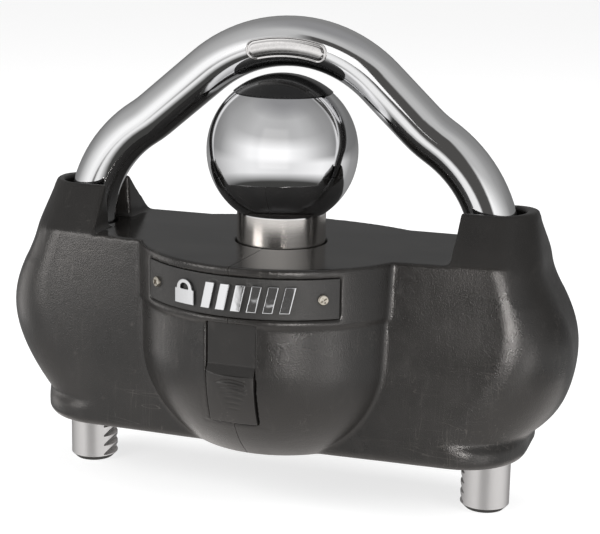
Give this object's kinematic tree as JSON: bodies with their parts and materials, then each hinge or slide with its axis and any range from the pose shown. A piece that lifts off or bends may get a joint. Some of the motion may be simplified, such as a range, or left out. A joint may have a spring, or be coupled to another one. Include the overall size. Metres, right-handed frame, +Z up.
{
  "type": "trailer coupler lock",
  "caption": "Ball-type lock for an unhitched trailer coupler: a fixed ball on a jacketed body, a wavy round-bar shackle that drops into two ears, and a cylinder behind a sliding cover",
  "frame": {"origin": "centre of the ball that fills the trailer coupler's socket", "axes": "+Z up along the ball's neck and the shackle's legs, +X to the right as seen from the keyway side, +Y towards the back"},
  "size_m": [0.1876, 0.0804, 0.1525],
  "materials": {
    "chrome_ball": "bright chrome plate on the ball, finely turned below it",
    "chrome_bar": "bright chrome plate, satin at the ends",
    "cap_plastic": "glossy black",
    "jacket": "black satin with a fine orange-peel skin",
    "cover_plastic": "black satin",
    "badge_plastic": "fine pebbled black",
    "badge_chrome": "bright",
    "nickel_screws": "nickel plate",
    "zinc_steel": "zinc plate",
    "core_iron": "as cast, machined bores",
    "core_steel": "ground",
    "base_steel": "black",
    "lock_brass": "turned",
    "spring_steel": "plain"
  },
  "bodies": {
    "lock_body": {"ball": "chrome_ball", "ball_cap": "cap_plastic", "ball_washer": "zinc_steel", "ball_nut": "zinc_steel", "housing_right": "jacket", "housing_left": "jacket", "core": "core_iron", "core_cover": "core_steel", "core_cover_screws": "zinc_steel", "base_plate": "base_steel", "base_screws": "zinc_steel", "nameplate": "badge_plastic", "emblem": "badge_chrome", "nameplate_screws": "nickel_screws", "lock_shell": "lock_brass", "driver_pins": "lock_brass", "pin_springs": "spring_steel", "lock_pin": "spring_steel", "bolt_spring": "spring_steel"},
    "shackle": {"shackle": "chrome_bar"},
    "cover": {"keyway_cover": "cover_plastic"},
    "plug": {"lock_plug": "lock_brass", "key_pins": "lock_brass", "cam_disc": "core_steel", "cam_screw": "zinc_steel"},
    "right_bolt": {"bolt_right": "core_steel"},
    "left_bolt": {"bolt_left": "core_steel"}
  },
  "joints": [
    {"name": "shackle_slide", "type": "slide", "parent": "lock_body", "child": "shackle", "axis": [0, 0, 1], "range_m": [0, 0.14]},
    {"name": "keyway_cover_slide", "type": "slide", "parent": "lock_body", "child": "cover", "axis": [0, 0, 1], "range_m": [0, 0.013]},
    {"name": "plug_turn", "type": "hinge", "parent": "lock_body", "child": "plug", "pos_m": [0, -0.02, -0.0715], "axis": [0, 1, 0], "range_deg": [0, 90]},
    {"name": "right_bolt_slide", "type": "slide", "parent": "lock_body", "child": "right_bolt", "axis": [1, 0, 0], "range_m": [0, 0.0022], "deforming": ["bolt_spring"]},
    {"name": "left_bolt_slide", "type": "slide", "parent": "lock_body", "child": "left_bolt", "axis": [-1, 0, 0], "range_m": [0, 0.0022]}
  ],
  "couplings": [
    {"joint": "plug_turn", "follows": "right_bolt_slide", "rad_per_m": 714},
    {"joint": "left_bolt_slide", "follows": "right_bolt_slide", "ratio": 1}
  ]
}
